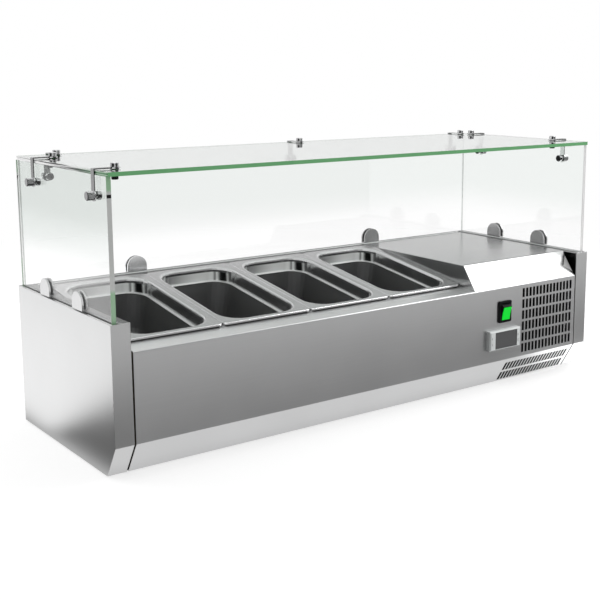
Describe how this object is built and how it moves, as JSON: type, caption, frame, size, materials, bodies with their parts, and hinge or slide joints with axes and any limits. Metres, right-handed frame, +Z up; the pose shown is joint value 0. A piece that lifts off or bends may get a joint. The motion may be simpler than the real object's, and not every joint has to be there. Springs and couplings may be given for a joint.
{
  "type": "refrigerated countertop saladette",
  "caption": "Low steel refrigerated topping rail with lift-out pans in a sloping deck, a vented machine compartment and a clipped glass screen.",
  "frame": {"origin": "on the counter, below the middle of the outline", "axes": "+X along the counter towards the machine compartment, -Y to the serving side, +Z up"},
  "size_m": [1.001, 0.3646, 0.449],
  "materials": {
    "steel": "satin brushed",
    "pan_steel": "bright satin",
    "clip_steel": "satin",
    "polished": "polished",
    "clear_glass": "clear, faintly green",
    "seal": "matt",
    "foot_rubber": "matt",
    "black_plastic": "satin",
    "green_lens": "gloss",
    "grey_plastic": "satin",
    "smoke_window": "gloss",
    "black_paint": "semi-gloss",
    "foam": "matt foam",
    "copper": "bare copper",
    "fin_metal": "mill",
    "zinc": "galvanised"
  },
  "bodies": {
    "cabinet": {"left_side_panel": "steel", "right_side_panel": "steel", "left_end_rail": "steel", "right_end_rail": "steel", "front_panel": "steel", "back_panel": "steel", "rear_rail": "steel", "base_plate": "zinc", "deck_frame": "steel", "well_liner": "pan_steel", "foam_block": "foam", "bulkhead": "zinc", "pan_bars": "pan_steel", "compartment_cover": "steel", "left_glass": "clear_glass", "right_glass": "clear_glass", "rear_glass": "clear_glass", "top_glass": "clear_glass", "glass_seals": "seal", "glass_straps": "polished", "clamp_caps": "polished", "clamp_spacers": "polished", "top_knobs": "polished", "side_knobs": "polished", "clamp_bolts": "polished", "glass_clips": "clip_steel", "clip_pads": "seal", "clip_pins": "polished", "switch_bezel": "black_plastic", "switch_body": "black_plastic", "controller_bezel": "grey_plastic", "controller_window": "smoke_window", "controller_body": "black_plastic", "compressor": "black_paint", "compressor_mounts": "foot_rubber", "terminal_box": "black_plastic", "condenser": "fin_metal", "fan_shroud": "zinc", "fan_motor": "black_paint", "filter_drier": "copper", "refrigerant_lines": "copper", "evaporator_tube": "copper", "temperature_probe": "polished", "cable_gland": "black_plastic", "rubber_feet": "foot_rubber", "screws": "polished"},
    "pan_1": {"pan_1": "pan_steel"},
    "pan_2": {"pan_2": "pan_steel"},
    "pan_3": {"pan_3": "pan_steel"},
    "pan_4": {"pan_4": "pan_steel"},
    "rocker": {"switch_rocker": "black_plastic", "switch_lens": "green_lens"},
    "key_1": {"key_1": "grey_plastic"},
    "key_2": {"key_2": "grey_plastic"},
    "key_3": {"key_3": "grey_plastic"},
    "key_4": {"key_4": "grey_plastic"},
    "fan": {"fan_shaft": "polished", "fan_rotor": "black_plastic"}
  },
  "joints": [
    {"name": "pan_1_lift", "type": "slide", "parent": "cabinet", "child": "pan_1", "axis": [0, -0.1426, 0.9898], "range_m": [0, 0.12]},
    {"name": "pan_2_lift", "type": "slide", "parent": "cabinet", "child": "pan_2", "axis": [0, -0.1426, 0.9898], "range_m": [0, 0.12]},
    {"name": "pan_3_lift", "type": "slide", "parent": "cabinet", "child": "pan_3", "axis": [0, -0.1426, 0.9898], "range_m": [0, 0.12]},
    {"name": "pan_4_lift", "type": "slide", "parent": "cabinet", "child": "pan_4", "axis": [0, -0.1426, 0.9898], "range_m": [0, 0.12]},
    {"name": "rocker_tilt", "type": "hinge", "parent": "cabinet", "child": "rocker", "pos_m": [0.2715, -0.1677, 0.14298], "axis": [1, 0, 0], "range_deg": [-26, 0]},
    {"name": "key_1_press", "type": "slide", "parent": "cabinet", "child": "key_1", "axis": [0, 1, 0], "range_m": [0, 0.0006], "stiffness_N_per_m": 300},
    {"name": "key_2_press", "type": "slide", "parent": "cabinet", "child": "key_2", "axis": [0, 1, 0], "range_m": [0, 0.0006], "stiffness_N_per_m": 300},
    {"name": "key_3_press", "type": "slide", "parent": "cabinet", "child": "key_3", "axis": [0, 1, 0], "range_m": [0, 0.0006], "stiffness_N_per_m": 300},
    {"name": "key_4_press", "type": "slide", "parent": "cabinet", "child": "key_4", "axis": [0, 1, 0], "range_m": [0, 0.0006], "stiffness_N_per_m": 300},
    {"name": "fan_spin", "type": "hinge", "parent": "cabinet", "child": "fan", "pos_m": [0.388, -0.0925, 0.1114], "axis": [0, 1, 0], "continuous": true}
  ]
}
